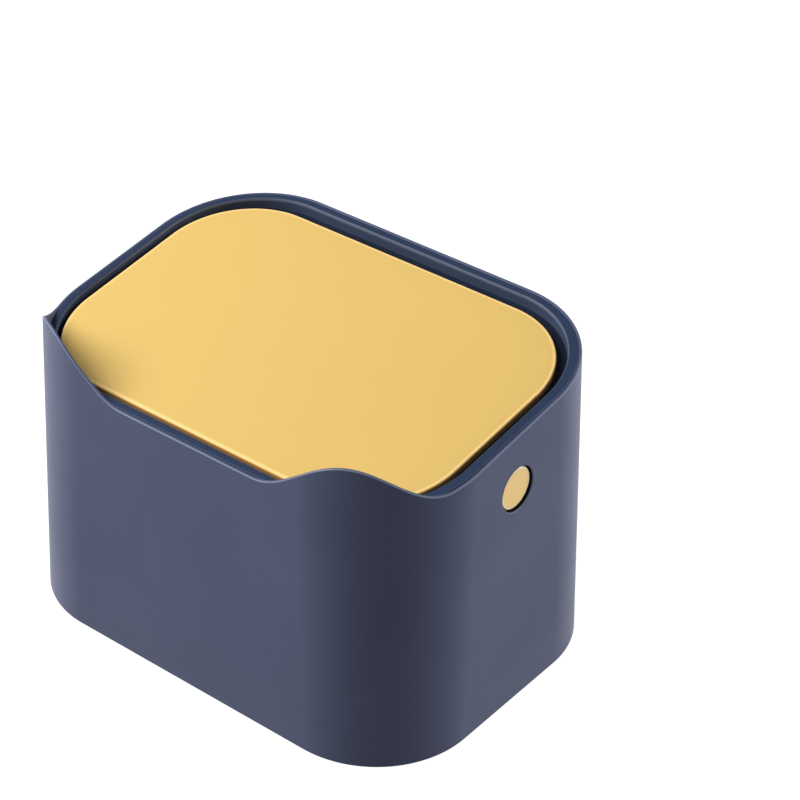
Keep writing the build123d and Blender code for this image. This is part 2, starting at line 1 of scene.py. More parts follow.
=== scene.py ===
import bpy
import bmesh
import math
from mathutils import Matrix, Vector
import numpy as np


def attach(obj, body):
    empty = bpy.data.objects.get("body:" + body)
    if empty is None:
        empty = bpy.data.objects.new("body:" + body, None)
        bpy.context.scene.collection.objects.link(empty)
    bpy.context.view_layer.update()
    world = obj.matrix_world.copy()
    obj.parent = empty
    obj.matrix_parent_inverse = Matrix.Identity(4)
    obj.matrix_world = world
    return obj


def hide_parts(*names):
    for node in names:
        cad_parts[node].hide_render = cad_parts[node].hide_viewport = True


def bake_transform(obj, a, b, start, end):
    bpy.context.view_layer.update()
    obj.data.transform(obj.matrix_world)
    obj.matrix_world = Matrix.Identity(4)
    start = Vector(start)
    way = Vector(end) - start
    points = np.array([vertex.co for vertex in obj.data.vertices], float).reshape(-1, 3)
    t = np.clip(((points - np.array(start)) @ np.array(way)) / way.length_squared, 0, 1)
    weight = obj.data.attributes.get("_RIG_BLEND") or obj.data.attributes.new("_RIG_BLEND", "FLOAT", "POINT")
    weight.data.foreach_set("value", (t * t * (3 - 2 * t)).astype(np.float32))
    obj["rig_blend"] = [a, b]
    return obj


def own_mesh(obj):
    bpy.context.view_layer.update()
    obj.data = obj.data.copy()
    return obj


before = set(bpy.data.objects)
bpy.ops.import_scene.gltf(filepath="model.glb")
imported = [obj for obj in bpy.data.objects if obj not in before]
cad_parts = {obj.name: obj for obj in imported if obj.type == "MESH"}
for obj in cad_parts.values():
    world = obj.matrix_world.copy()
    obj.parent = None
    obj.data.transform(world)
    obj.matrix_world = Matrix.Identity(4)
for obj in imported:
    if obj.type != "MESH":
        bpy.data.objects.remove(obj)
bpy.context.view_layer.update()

# Outer barrel. The real piece is one injection moulding in navy ABS with a fine satin skin. Its
# walls lean in towards a sloping rim that rises to an ear at each front corner. A thin lip stands
# round the frame that is clicked in. It is drawn ring by ring, from foot to lip to inner floor.
BARREL_LENGTH = 0.200
BARREL_WIDTH = 0.1415
RIM_HEIGHT = 0.1247
RIM_SLOPE = 0.155
WALL_LEAN = 0.02
RIM_CORNER = 0.0464
BASE_CORNER = 0.0438
WALL = 0.0022
FLOOR = 0.0024
FOOT_RING = 0.009
FOOT_RECESS = 0.0008
BASE_ROUNDING = 0.001
FLOOR_ROUNDING = 0.003
LIP = 0.0013
LIP_DEPTH = 0.0056
LIP_ROUNDING = 0.00045
EAR_HEIGHT = 0.0186
EAR_HALF_LENGTH = 0.041
EAR_PLACE = 0.0732
CORNER_STEPS = 36
FRONT_CUTS = 53
ROUNDING_STEPS = 5
ROUND_SIDES = 96
SMOOTH_ANGLE = math.radians(32)
NEAR = 1e-6
BUTTON_HEIGHT = 0.101
BUTTON_HOLE = 0.0093
HOLE_ROUNDING = 0.0004
HOLE_STEPS = 3
HOLE_CUTTER = 0.02
HOLE_SHADE = 0.55
ON_WALL = 0.02
# The barrel's navy is paler than the plastic's own: the difference is painted sheen on its walls.
NAVY_WITH_PAINTED_SHEEN = (0.083, 0.098, 0.173, 1)
NAVY_DEEP_WITH_PAINTED_SHEEN = (0.077, 0.091, 0.162, 1)
# Painted shade for the gaps round the button and above the frame's ledge.
NAVY_PAINTED_SHADE = (0.003, 0.003, 0.006, 1)
NAVY_DUST = (0.2, 0.22, 0.27, 1)
# Painted highlight for the lip's rounding and the frame's edge lines.
NAVY_PAINTED_HIGHLIGHT = (0.2, 0.23, 0.32, 1)


def rim_plane(y, depth=0.0):
    return RIM_HEIGHT + RIM_SLOPE * y - depth


def select_where(piece, wanted):
    # Leaves only the vertices picked, in edit mode, with the edges and faces that they span.
    bpy.ops.mesh.select_mode(type="VERT")
    bpy.ops.mesh.select_all(action="DESELECT")
    drawn = bmesh.from_edit_mesh(piece.data)
    for vertex in drawn.verts:
        vertex.select = wanted(vertex.co)
    drawn.select_flush_mode()
    bmesh.update_edit_mesh(piece.data)


def start_ring(name, length, width, corner, front_cuts):
    # A plane with its corners rounded and its face taken out leaves the first ring. Each vertex
    # keeps its place round the outline, which every ring that is extruded from it takes over.
    bpy.ops.object.select_all(action="DESELECT")
    bpy.ops.mesh.primitive_plane_add(size=1)
    piece = bpy.context.object
    piece.name = name
    bpy.ops.object.mode_set(mode="EDIT")
    bpy.ops.transform.resize(value=(length, width, 1))
    bpy.ops.mesh.bevel(offset=corner, segments=CORNER_STEPS, profile=0.5, affect="VERTICES")
    bpy.ops.mesh.select_all(action="SELECT")
    bpy.ops.mesh.delete(type="ONLY_FACE")
    middle_x = length / 2 - corner
    middle_y = width / 2 - corner
    if front_cuts:
        select_where(piece, lambda co: co.y < NEAR - width / 2 and abs(co.x) < middle_x + NEAR)
        bpy.ops.mesh.subdivide(number_cuts=front_cuts)
    drawn = bmesh.from_edit_mesh(piece.data)
    place = drawn.verts.layers.float_vector.new("place")
    drawn.verts.layers.float.new("edge")
    for vertex in drawn.verts:
        share_x = max(-1, min(1, vertex.co.x / middle_x))
        share_y = max(-1, min(1, vertex.co.y / middle_y))
        facing = math.atan2(vertex.co.y - share_y * middle_y, vertex.co.x - share_x * middle_x)
        vertex[place] = (share_x, share_y, facing)
    bmesh.update_edit_mesh(piece.data)
    bpy.ops.mesh.select_all(action="SELECT")
    return piece


def set_ring(piece, outline, height, shift=(0, 0), edge=0.0):
    # Moves the selected ring to an outline at a height. Where the rim slopes, outline and height
    # depend on each other, and three rounds settle them.
    drawn = bmesh.from_edit_mesh(piece.data)
    place = drawn.verts.layers.float_vector["place"]
    edge_share = drawn.verts.layers.float["edge"]
    for vertex in drawn.verts:
        if vertex.select:
            share_x, share_y, facing = vertex[place]
            z = RIM_HEIGHT
            for _ in range(3):
                half_x, half_y, radius = outline(z)
                x = (half_x - radius) * share_x + radius * math.cos(facing) + shift[0]
                y = (half_y - radius) * share_y + radius * math.sin(facing) + shift[1]
                z = height(y, share_x, facing)
            vertex.co = (x, y, z)
            vertex[edge_share] = edge
    bmesh.update_edit_mesh(piece.data)


def quarter(steps):
    # The turns of a quarter circle, from nothing to a right angle.
    return [math.pi / 2 * number / steps for number in range(steps + 1)]


def finish_piece(piece):
    # Closed, outward, smooth on its curves and flat on its flats.
    bpy.ops.mesh.select_all(action="SELECT")
    bpy.ops.mesh.remove_doubles(threshold=NEAR / 10)
    bpy.ops.mesh.normals_make_consistent(inside=False)
    bpy.ops.object.mode_set(mode="OBJECT")
    if "place" in piece.data.attributes:
        piece.data.attributes.remove(piece.data.attributes["place"])
    bpy.ops.object.shade_smooth_by_angle(angle=SMOOTH_ANGLE)
    modifier = piece.modifiers.new("weighted", "WEIGHTED_NORMAL")
    modifier.keep_sharp = True
    bpy.ops.object.modifier_apply(modifier="weighted")


def cut(piece, cutter):
    bpy.ops.object.select_all(action="DESELECT")
    bpy.context.view_layer.objects.active = piece
    piece.select_set(True)
    modifier = piece.modifiers.new("cut", "BOOLEAN")
    modifier.operation = "DIFFERENCE"
    modifier.solver = "EXACT"
    modifier.object = cutter
    bpy.ops.object.modifier_apply(modifier="cut")
    bpy.data.objects.remove(cutter)


def outer_outline(inset):
    def at(z):
        lean = WALL_LEAN * (RIM_HEIGHT - z)
        radius = BASE_CORNER + (RIM_CORNER - BASE_CORNER) * z / RIM_HEIGHT - inset
        return BARREL_LENGTH / 2 + lean - inset, BARREL_WIDTH / 2 + lean - inset, radius
    return at


def inner_outline(inset):
    def at(z):
        grown = WALL_LEAN * (RIM_HEIGHT - z) - inset
        return BARREL_LENGTH / 2 + grown, BARREL_WIDTH / 2 + grown, RIM_CORNER + grown
    return at


def level(z):
    return lambda y, share_x, facing: z


def lip_height(drop):
    # The rim's plane with an ear on it: one cosine wave, bent round each front corner.
    def at(y, share_x, facing):
        straight = BARREL_LENGTH / 2 - RIM_CORNER
        along = abs(share_x) * straight + RIM_CORNER * abs(facing + math.pi / 2)
        from_ear = abs(along - EAR_PLACE)
        share = min(1, from_ear / EAR_HALF_LENGTH)
        return rim_plane(y, drop) + EAR_HEIGHT * (1 + math.cos(math.pi * share)) / 2
    return at


def rim_depth(depth):
    return lambda y, share_x, facing: rim_plane(y, depth)


barrel = start_ring("barrel_shell", BARREL_LENGTH, BARREL_WIDTH, RIM_CORNER, FRONT_CUTS)
set_ring(barrel, outer_outline(FOOT_RING), level(FOOT_RECESS))
barrel_rings = [(outer_outline(FOOT_RING), level(0), 0)]
for turn in quarter(ROUNDING_STEPS):
    inset = BASE_ROUNDING * (1 - math.sin(turn))
    barrel_rings.append((outer_outline(inset), level(BASE_ROUNDING * (1 - math.cos(turn))), 0))
# The lip's outer rounding gets an edge share that paints a highlight along it.
for turn in quarter(ROUNDING_STEPS):
    inset = LIP_ROUNDING * (1 - math.cos(turn))
    height = lip_height(LIP_ROUNDING * (1 - math.sin(turn)))
    barrel_rings.append((outer_outline(inset), height, math.sin(2 * turn)))
for turn in reversed(quarter(ROUNDING_STEPS)):
    inset = LIP - LIP_ROUNDING * (1 - math.cos(turn))
    height = lip_height(LIP_ROUNDING * (1 - math.sin(turn)))
    barrel_rings.append((inner_outline(inset), height, 0))
barrel_rings.append((inner_outline(LIP), rim_depth(LIP_DEPTH), 0))
barrel_rings.append((inner_outline(WALL), rim_depth(LIP_DEPTH), 0))
for turn in quarter(ROUNDING_STEPS):
    inset = WALL + FLOOR_ROUNDING * (1 - math.cos(turn))
    height = level(FLOOR + FLOOR_ROUNDING * (1 - math.sin(turn)))
    barrel_rings.append((inner_outline(inset), height, 0))
for outline, height, edge in barrel_rings:
    bpy.ops.mesh.extrude_region_move()
    set_ring(barrel, outline, height, edge=edge)
bpy.ops.mesh.edge_face_add()
foot_reach = outer_outline(FOOT_RING)(FOOT_RECESS)[0] + NEAR
select_where(barrel, lambda co: abs(co.z - FOOT_RECESS) < NEAR and abs(co.x) < foot_reach)
bpy.ops.mesh.edge_face_add()
bpy.ops.mesh.select_all(action="SELECT")
bpy.ops.mesh.normals_make_consistent(inside=False)
bpy.ops.object.mode_set(mode="OBJECT")


def from_button(place):
    # How far a place lies from the button's middle line.
    return math.hypot(place.y, place.z - BUTTON_HEIGHT)


bpy.ops.object.select_all(action="DESELECT")
bpy.ops.mesh.primitive_cylinder_add(
    vertices=ROUND_SIDES, radius=BUTTON_HOLE, depth=HOLE_CUTTER,
    location=(BARREL_LENGTH / 2, 0, BUTTON_HEIGHT), rotation=(0, math.pi / 2, 0),
)
cut(barrel, bpy.context.object)
bpy.ops.object.mode_set(mode="EDIT")
select_where(barrel, lambda co: co.x > BARREL_LENGTH / 2
    and abs(from_button(co) - BUTTON_HOLE) < HOLE_ROUNDING / 20)
bpy.ops.mesh.bevel(offset=HOLE_ROUNDING, segments=HOLE_STEPS, profile=0.5, affect="EDGES")
finish_piece(barrel)
# The hole's own wall lies in the dark of the gap round the button and is given painted shade. Its
# rounding gets painted shade where it faces down into the gap and a painted highlight where it faces up.
barrel_edge = barrel.data.attributes["edge"].data
hole_end = BARREL_LENGTH / 2 - WALL - HOLE_ROUNDING
for vertex in barrel.data.vertices:
    rounding_share = (from_button(vertex.co) - BUTTON_HOLE) / HOLE_ROUNDING
    if vertex.co.x > hole_end and rounding_share < 1 - ON_WALL:
        above = (vertex.co.z - BUTTON_HEIGHT - vertex.co.y / 2) / BUTTON_HOLE
        on_wall = rounding_share < ON_WALL
        barrel_edge[vertex.index].value = -1 if on_wall else -HOLE_SHADE * above


def add(tree, kind, feeds, **settings):
    # One node, with its settings, and each socket linked to its source or given its value.
    made = tree.nodes.new(kind)
    for name, value in settings.items():
        setattr(made, name, value)
    for socket, source in feeds.items():
        if isinstance(source, bpy.types.NodeSocket):
            tree.links.new(source, made.inputs[socket])
        else:
            made.inputs[socket].default_value = source
    return made


def calculate(tree, operation, *values, **settings):
    feeds = dict(enumerate(values))
    return add(tree, "ShaderNodeMath", feeds, operation=operation, **settings).outputs[0]


def remap(tree, value, start, end, low=0.0, high=1.0):
    # From start to end the value goes from low to high, and it holds them beyond.
    return add(tree, "ShaderNodeMapRange", {
        "Value": value, "From Min": start, "From Max": end, "To Min": low, "To Max": high,
    }).outputs["Result"]


def noise(tree, place, scale, detail, roughness=0.5):
    return add(tree, "ShaderNodeTexNoise", {
        "Vector": place, "Scale": scale, "Detail": detail, "Roughness": roughness,
    }).outputs["Fac"]


def mix_colours(tree, share, first, second):
    return add(tree, "ShaderNodeMix", {0: share, 6: first, 7: second}, data_type="RGBA").outputs[2]


def new_effect(name, inputs, outputs):
    # An effect that several finishes share, as a node group with named sockets and its two ends.
    tree = bpy.data.node_groups.new(name, "ShaderNodeTree")
    for way, sockets in (("INPUT", inputs), ("OUTPUT", outputs)):
        for label, kind in sockets.items():
            tree.interface.new_socket(name=label, in_out=way, socket_type="NodeSocket" + kind)
    return tree, tree.nodes.new("NodeGroupInput").outputs, tree.nodes.new("NodeGroupOutput").inputs


def hand_out(tree, result, sources):
    for label, source in sources.items():
        tree.links.new(source, result[label])


def place_effect(tree, effect, feeds):
    return add(tree, "ShaderNodeGroup", feeds, node_tree=effect)


# The skin that a polished and lightly etched mould leaves: slow clouds in the colour and the
# gloss, and a fine even grain.
moulded_skin, given, result = new_effect(
    "moulded_skin",
    {"Place": "Vector", "Colour": "Color", "Deep colour": "Color", "Cloud size": "Float",
     "Grain size": "Float", "Roughness": "Float", "Roughness change": "Float"},
    {"Colour": "Color", "Roughness": "Float", "Height": "Float"},
)
clouds = noise(
    moulded_skin, given["Place"], scale=given["Cloud size"], detail=4.0, roughness=0.6)
grain = noise(moulded_skin, given["Place"], scale=given["Grain size"], detail=2.0)
cloud_share = remap(moulded_skin, clouds, start=0.35, end=0.65)
shaded = mix_colours(moulded_skin, cloud_share, given["Colour"], given["Deep colour"])
both = calculate(moulded_skin, "ADD", cloud_share, grain)
centred = calculate(moulded_skin, "SUBTRACT", both, 1.0)
gloss = calculate(
    moulded_skin, "MULTIPLY_ADD", centred, given["Roughness change"], given["Roughness"])
hand_out(moulded_skin, result, {"Colour": shaded, "Roughness": gloss, "Height": grain})

# Dust that has settled here and there, as specks a fraction of a millimetre across.
dust_specks, given, result = new_effect(
    "dust_specks",
    {"Place": "Vector", "Colour": "Color", "Dust colour": "Color", "Spacing": "Float",
     "Amount": "Float"},
    {"Colour": "Color"},
)
cells = add(dust_specks, "ShaderNodeTexVoronoi", {
    "Vector": given["Place"], "Scale": given["Spacing"], "Randomness": 1.0,
})
speck = remap(dust_specks, cells.outputs["Distance"], start=0.04, end=0.09, low=1.0, high=0.0)
drift = noise(dust_specks, given["Place"], scale=60.0, detail=2.0)
drifted = remap(dust_specks, drift, start=0.52, end=0.66)
present = calculate(dust_specks, "MULTIPLY", speck, drifted)
amount = calculate(dust_specks, "MULTIPLY", present, given["Amount"])
dusted = mix_colours(dust_specks, amount, given["Colour"], given["Dust colour"])
hand_out(dust_specks, result, {"Colour": dusted})

# Hairline scuffs from handling, which run along one direction and come and go.
SCUFF_TURN = (0.4, 0.3, 0.7)
SCUFF_STRETCH = (1.0, 24.0, 24.0)
hairline_scuffs, given, result = new_effect(
    "hairline_scuffs", {"Place": "Vector", "Amount": "Float"}, {"Mask": "Float"})
drawn_out = add(hairline_scuffs, "ShaderNodeMapping", {
    "Vector": given["Place"], "Rotation": SCUFF_TURN, "Scale": SCUFF_STRETCH,
}).outputs["Vector"]
lines = noise(hairline_scuffs, drawn_out, scale=45.0, detail=3.0, roughness=0.7)
thin = remap(hairline_scuffs, lines, start=0.68, end=0.76)
patches = noise(hairline_scuffs, given["Place"], scale=30.0, detail=1.0)
patch_share = remap(hairline_scuffs, patches, start=0.5, end=0.65)
kept = calculate(hairline_scuffs, "MULTIPLY", thin, patch_share)
strength = calculate(hairline_scuffs, "MULTIPLY", kept, given["Amount"])
hand_out(hairline_scuffs, result, {"Mask": strength})

# Edges that the mould and many hands have left smoother, drawn paler than the faces beside them as a
# painted highlight, and sides deep in a gap, where an edge share below nothing paints shade by
# turning the colour darker.
EDGE_POLISH = -0.1
painted_edge_light_and_shade, given, result = new_effect(
    "painted_edge_light_and_shade",
    {"Colour": "Color", "Painted highlight colour": "Color", "Painted shade colour": "Color", "Edge": "Float",
     "Roughness": "Float"},
    {"Colour": "Color", "Roughness": "Float"},
)
deep_share = calculate(painted_edge_light_and_shade, "MULTIPLY", given["Edge"], -1.0, use_clamp=True)
darker = mix_colours(painted_edge_light_and_shade, deep_share, given["Colour"], given["Painted shade colour"])
paler = mix_colours(painted_edge_light_and_shade, given["Edge"], darker, given["Painted highlight colour"])
smoother = calculate(
    painted_edge_light_and_shade, "MULTIPLY_ADD", given["Edge"], EDGE_POLISH, given["Roughness"])
hand_out(painted_edge_light_and_shade, result, {"Colour": paler, "Roughness": smoother})

CLOUD_SIZE = 21.0
CLOUD_GLOSS = 0.05
DUST_SPACING = 330.0
SCUFF_GLOSS = -0.12
SCUFF_DEPTH = -0.6
GRAIN_STRENGTH = 0.6
SATIN_SHEEN = 0.15


def moulded_plastic(
        name, colour, deep_colour, dust_colour, painted_highlight_colour, painted_shade_colour,
        roughness, grain_size, grain_depth, dust, scuffs, sheen=SATIN_SHEEN):
    material = bpy.data.materials.new(name)
    material.use_nodes = True
    tree = material.node_tree
    shader = tree.nodes["Principled BSDF"]
    shader.inputs["Specular IOR Level"].default_value = sheen
    place = add(tree, "ShaderNodeTexCoord", {}).outputs["Object"]
    skin = place_effect(tree, moulded_skin, {
        "Place": place, "Colour": colour, "Deep colour": deep_colour, "Cloud size": CLOUD_SIZE,
        "Grain size": grain_size, "Roughness": roughness, "Roughness change": CLOUD_GLOSS,
    })
    specks = place_effect(tree, dust_specks, {
        "Place": place, "Colour": skin.outputs["Colour"], "Dust colour": dust_colour,
        "Spacing": DUST_SPACING, "Amount": dust,
    })
    worn = place_effect(tree, hairline_scuffs, {"Place": place, "Amount": scuffs})
    scuffed = worn.outputs["Mask"]
    duller = calculate(tree, "MULTIPLY_ADD", scuffed, SCUFF_GLOSS, skin.outputs["Roughness"])
    relief = calculate(tree, "MULTIPLY_ADD", scuffed, SCUFF_DEPTH, skin.outputs["Height"])
    bump = add(tree, "ShaderNodeBump", {
        "Height": relief, "Distance": grain_depth, "Strength": GRAIN_STRENGTH,
    })
    # The edge share paints highlights on rounded edges and shade deep in gaps.
    along_edge = add(tree, "ShaderNodeAttribute", {}, attribute_name="edge")
    edge_light_and_shade = place_effect(tree, painted_edge_light_and_shade, {
        "Colour": specks.outputs["Colour"], "Painted highlight colour": painted_highlight_colour, "Painted shade colour": painted_shade_colour,
        "Edge": along_edge.outputs["Fac"], "Roughness": duller,
    })
    tree.links.new(edge_light_and_shade.outputs["Colour"], shader.inputs["Base Color"])
    tree.links.new(edge_light_and_shade.outputs["Roughness"], shader.inputs["Roughness"])
    tree.links.new(bump.outputs["Normal"], shader.inputs["Normal"])
    return material, shader, tree, place, edge_light_and_shade


def finish_in(piece, material):
    piece.data.materials.clear()
    piece.data.materials.append(material)


navy_plastic = moulded_plastic(
    "navy_moulded_skin", NAVY_WITH_PAINTED_SHEEN, NAVY_DEEP_WITH_PAINTED_SHEEN, NAVY_DUST, NAVY_PAINTED_HIGHLIGHT, NAVY_PAINTED_SHADE,
    roughness=0.42, grain_size=1300.0, grain_depth=0.00003, dust=0.5, scuffs=0.5)[0]
finish_in(barrel, navy_plastic)
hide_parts("outer_barrel")
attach(barrel, "base")

# Top frame. The real piece is a second navy moulding: a flat band, a sunk ledge under the lid, and
# a skirt whose four beads click into the barrel. Its shape is the CAD node's. Its navy is written
# darker than the barrel's, to come out as dark as the real band does beside the walls: both are one
# navy plastic, and the barrel's paler colour is painted sheen on its walls.
FRAME_NAVY = (0.026, 0.043, 0.088, 1)
FRAME_NAVY_DEEP = (0.023, 0.038, 0.079, 1)
BAND = 0.0049
BAND_SHIFT = -0.0008
SEAM_INSET = 0.0017
EDGE_LINE = 0.00045
EDGE_LINE_DEPTH = 0.0012
SEAM_LINE_DEPTH = 0.0006
LINE_STRENGTH = 0.5
FRONT_STRENGTH = 0.3
FRONT_END = -0.02
BACK_START = 0.03
LEDGE_TOP = RIM_HEIGHT - 0.0054
LEDGE_FADE = RIM_HEIGHT - 0.0048
LEDGE_SHADE = -0.8
WALL_PALE = RIM_HEIGHT - 0.0016
WALL_TOP = RIM_HEIGHT - 0.0008
WALL_SHINE = 0.14

# A fine line that follows a rounded rectangle, seen on the top of the sloping band only.
# The frame uses it to paint highlights along its band's edges.
edge_line, given, result = new_effect(
    "edge_line",
    {"Place": "Vector", "Half length": "Float", "Half width": "Float", "Corner": "Float",
     "Shift": "Float", "Line width": "Float", "Lowest": "Float"},
    {"Mask": "Float"},
)
axes = add(edge_line, "ShaderNodeSeparateXYZ", {0: given["Place"]}).outputs


def beyond_corner(coordinate, half):
    # How far a point lies beyond the middle of the corner's curve, along one side.
    inner = calculate(edge_line, "SUBTRACT", half, given["Corner"])
    size = calculate(edge_line, "ABSOLUTE", coordinate)
    return calculate(edge_line, "SUBTRACT", size, inner)


shifted = calculate(edge_line, "SUBTRACT", axes["X"], given["Shift"])
past_x = beyond_corner(shifted, given["Half length"])
past_y = beyond_corner(axes["Y"], given["Half width"])
out_x = calculate(edge_line, "MAXIMUM", past_x, 0.0)
out_y = calculate(edge_line, "MAXIMUM", past_y, 0.0)
flat = add(edge_line, "ShaderNodeCombineXYZ", {0: out_x, 1: out_y}).outputs[0]
length = add(edge_line, "ShaderNodeVectorMath", {0: flat}, operation="LENGTH").outputs["Value"]
nearer = calculate(edge_line, "MAXIMUM", past_x, past_y)
within = calculate(edge_line, "MINIMUM", nearer, 0.0)
reach = calculate(edge_line, "ADD", length, within)
from_line = calculate(edge_line, "SUBTRACT", reach, given["Corner"])
distance = calculate(edge_line, "ABSOLUTE", from_line)
fading = remap(edge_line, distance, start=0.0, end=given["Line width"], low=1.0, high=0.0)
slope_rise = calculate(edge_line, "MULTIPLY_ADD", axes["Y"], -RIM_SLOPE, axes["Z"])
high_enough = calculate(edge_line, "GREATER_THAN", slope_rise, given["Lowest"])
lined = calculate(edge_line, "MULTIPLY", fading, high_enough)
hand_out(edge_line, result, {"Mask": lined})

frame_plastic, _, tree, place, edge_light_and_shade = moulded_plastic(
    "navy_frame_skin", FRAME_NAVY, FRAME_NAVY_DEEP, NAVY_DUST, NAVY_PAINTED_HIGHLIGHT, NAVY_PAINTED_SHADE,
    roughness=0.4, grain_size=1500.0, grain_depth=0.00002, dust=0.35, scuffs=0.3)


def line_round(inset, shift, width, depth):
    return place_effect(tree, edge_line, {
        "Place": place, "Half length": BARREL_LENGTH / 2 - inset,
        "Half width": BARREL_WIDTH / 2 - inset, "Corner": RIM_CORNER - inset, "Shift": shift,
        "Line width": width, "Lowest": RIM_HEIGHT - depth,
    }).outputs["Mask"]


# The lines are painted highlights along the band's edges, the paler wall is painted sheen and the
# dark just above the ledge is painted shade; all are drawn into the colour, in full at the back and
# weaker in front.
inner_edge = line_round(BAND, BAND_SHIFT, EDGE_LINE, EDGE_LINE_DEPTH)
outer_edge = line_round(SEAM_INSET, 0.0, EDGE_LINE / 2, SEAM_LINE_DEPTH)
either = calculate(tree, "ADD", inner_edge, outer_edge)
across = add(tree, "ShaderNodeSeparateXYZ", {0: place}).outputs["Y"]
towards_back = remap(tree, across, start=FRONT_END, end=BACK_START, low=FRONT_STRENGTH, high=1.0)
weaker = calculate(tree, "MULTIPLY", either, LINE_STRENGTH)
line_share = calculate(tree, "MULTIPLY", weaker, towards_back)
tilt = add(tree, "ShaderNodeVectorMath", {0: place, 1: (0, -RIM_SLOPE, 1)},
    operation="DOT_PRODUCT").outputs["Value"]
painted_ledge_shade = remap(tree, tilt, start=LEDGE_TOP, end=LEDGE_FADE, low=LEDGE_SHADE, high=0.0)
painted_wall_sheen = remap(tree, tilt, start=WALL_PALE, end=WALL_TOP, low=WALL_SHINE, high=0.0)
wall_or_gap = calculate(tree, "ADD", painted_wall_sheen, painted_ledge_shade)
painted_wall_light_and_shade = calculate(tree, "MULTIPLY", wall_or_gap, towards_back)
edge_or_gap = calculate(tree, "ADD", line_share, painted_wall_light_and_shade)
tree.links.new(edge_or_gap, edge_light_and_shade.inputs["Edge"])
finish_in(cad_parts["top_frame"], frame_plastic)

# Hinge pins. Two short rods of drawn steel, pushed through the lid's knuckles and the frame's
# bosses on one line. The screws that hold the hook and the latch case are of the same steel.
STEEL = (0.56, 0.56, 0.57, 1)
STEEL_DEEP = (0.42, 0.42, 0.44, 1)
METAL_SPREAD = 0.14
MARK_STRETCH = (1.0, 0.06, 1.0)
MARK_DEPTH = 0.00001
MARK_STRENGTH = 0.5

drawn_metal, given, result = new_effect(
    "drawn_metal",
    {"Place": "Vector", "Colour": "Color", "Deep colour": "Color", "Roughness": "Float"},
    {"Colour": "Color", "Roughness": "Float", "Height": "Float"},
)
draw_marks = add(drawn_metal, "ShaderNodeMapping", {
    "Vector": given["Place"], "Scale": MARK_STRETCH,
}).outputs["Vector"]
marks = noise(drawn_metal, draw_marks, scale=4200.0, detail=3.0, roughness=0.6)
tarnish = noise(drawn_metal, given["Place"], scale=260.0, detail=3.0)
stained = mix_colours(drawn_metal, tarnish, given["Colour"], given["Deep colour"])
spread = calculate(drawn_metal, "ADD", marks, tarnish)
brushed = calculate(drawn_metal, "MULTIPLY_ADD", spread, METAL_SPREAD, given["Roughness"])
hand_out(drawn_metal, result, {"Colour": stained, "Roughness": brushed, "Height": marks})


def metal(name, colour, deep_colour, roughness):
    material = bpy.data.materials.new(name)
    material.use_nodes = True
    tree = material.node_tree
    shader = tree.nodes["Principled BSDF"]
    shader.inputs["Metallic"].default_value = 1.0
    place = add(tree, "ShaderNodeTexCoord", {}).outputs["Object"]
    surface = place_effect(tree, drawn_metal, {
        "Place": place, "Colour": colour, "Deep colour": deep_colour, "Roughness": roughness,
    })
    bump = add(tree, "ShaderNodeBump", {
        "Height": surface.outputs["Height"], "Distance": MARK_DEPTH, "Strength": MARK_STRENGTH,
    })
    tree.links.new(surface.outputs["Colour"], shader.inputs["Base Color"])
    tree.links.new(surface.outputs["Roughness"], shader.inputs["Roughness"])
    tree.links.new(bump.outputs["Normal"], shader.inputs["Normal"])
    return material


bright_steel = metal("bright_zinc_steel", STEEL, STEEL_DEEP, roughness=0.16)
for node_name in ("hinge_pin_front", "hinge_pin_back", "hook_screws", "case_screws"):
    finish_in(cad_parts[node_name], bright_steel)

# Torsion springs. Each is wound in hard spring wire round its pin, between the two knuckles of
# its side; one straight leg bears on the frame's tab and the other lifts the lid.
WIRE = 0.0006
WIRE_SIDES = 14
COIL_STEPS = 40
LID_LENGTH = 0.1854
PIN_INSET = 0.026
LID_SHIFT = (-0.0022, -0.0008)
PIN_PLACE = Vector((LID_SHIFT[0] - LID_LENGTH / 2 + PIN_INSET, 0, RIM_HEIGHT - 0.006))
HINGE_LINE = Vector((0, 1, RIM_SLOPE)).normalized()
TORSION_RADIUS = 0.00175
TORSION_PITCH = 0.0016
TORSION_TURNS = 3 + 290 / 360
TORSION_MIDDLE = 0.048
ANCHOR_LEG = 0.0084
LID_LEG = 0.0064
WIRE_STEEL = (0.5, 0.5, 0.49, 1)
WIRE_STEEL_DEEP = (0.3, 0.29, 0.28, 1)


def wound_wire(name, radius, pitch, turns, first_leg, last_leg):
    # A ring of the wire's section is wound by a screw modifier, and its ends are drawn out.
    bpy.ops.object.select_all(action="DESELECT")
    bpy.ops.mesh.primitive_circle_add(
        vertices=WIRE_SIDES, radius=WIRE / 2, location=(radius, 0, 0), rotation=(math.pi / 2, 0, 0))
    piece = bpy.context.object
    piece.name = name
    bpy.ops.object.transform_apply(location=True, rotation=True, scale=True)
    winding = piece.modifiers.new("winding", "SCREW")
    winding.axis = "Z"
    winding.angle = 2 * math.pi * turns
    winding.screw_offset = pitch * turns
    winding.steps = winding.render_steps = round(COIL_STEPS * turns)
    winding.use_normal_calculate = True
    bpy.ops.object.modifier_apply(modifier="winding")
    bpy.ops.object.mode_set(mode="EDIT")
    bpy.ops.mesh.select_mode(type="VERT")
    climb = pitch / (2 * math.pi)
    for end, leg in ((0.0, -first_leg), (2 * math.pi * turns, last_leg)):
        heading = Vector((-radius * math.sin(end), radius * math.cos(end), climb)).normalized()
        middle = Vector((radius * math.cos(end), radius * math.sin(end), climb * end))
        across = Vector((math.sin(end), -math.cos(end), 0))
        select_where(piece, lambda co: (co - middle).length < WIRE / 2 + 20 * NEAR
            and abs((co - middle).dot(across)) < NEAR)
        if leg:
            bpy.ops.mesh.extrude_region_move(TRANSFORM_OT_translate={"value": heading * leg})
        bpy.ops.mesh.edge_face_add()
    return piece


